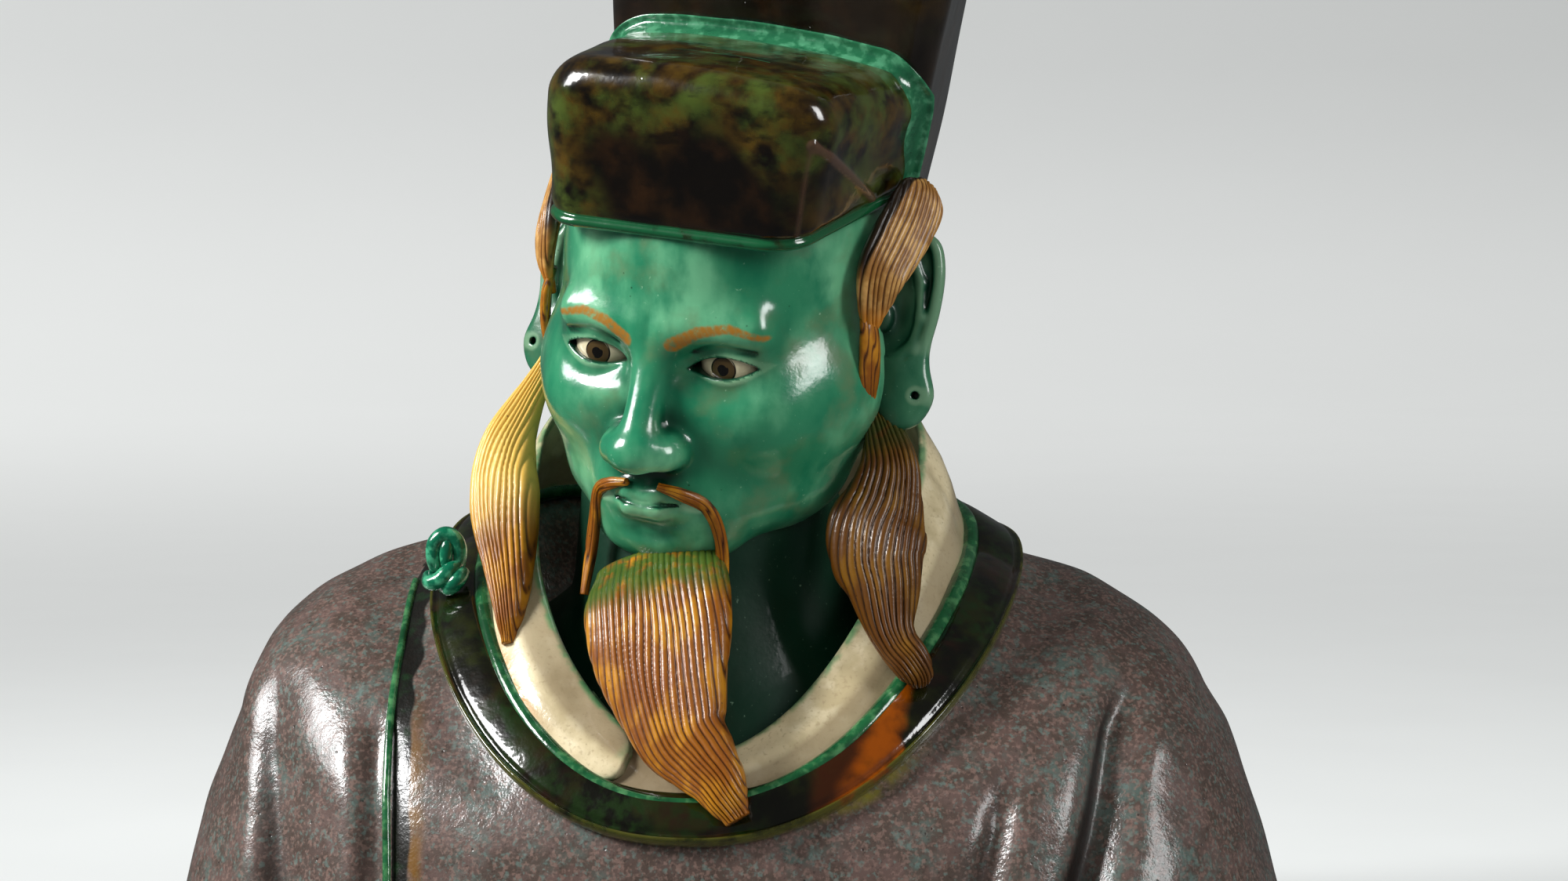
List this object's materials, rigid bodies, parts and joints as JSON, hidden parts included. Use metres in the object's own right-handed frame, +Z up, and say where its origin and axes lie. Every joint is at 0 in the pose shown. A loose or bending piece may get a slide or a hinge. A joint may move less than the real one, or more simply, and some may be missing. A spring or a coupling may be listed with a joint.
{
  "type": "glazed stoneware bust",
  "caption": "Glazed stoneware bust of a bearded official in a tiered cap and round-collared robe, cut flat below.",
  "frame": {"origin": "middle of the flat underside where the bust is cut", "axes": "+Z up, the figure's chest faces -Y, +X towards the figure's left shoulder"},
  "size_m": [0.4229, 0.222, 0.4158],
  "materials": {
    "robe_glaze": "aubergine glaze, semi-gloss, mottled with blue-green",
    "face_glaze": "glossy copper-green glaze",
    "cap_glaze": "glossy dark brown glaze with green clouds",
    "hair_glaze": "glossy amber glaze, darker in the grooves",
    "collar_glaze": "glossy dark green glaze with brown and amber runs",
    "cream_glaze": "glossy clear glaze over cream slip"
  },
  "bodies": {
    "root": {"glazed_figure": "robe_glaze"}
  },
  "joints": []
}
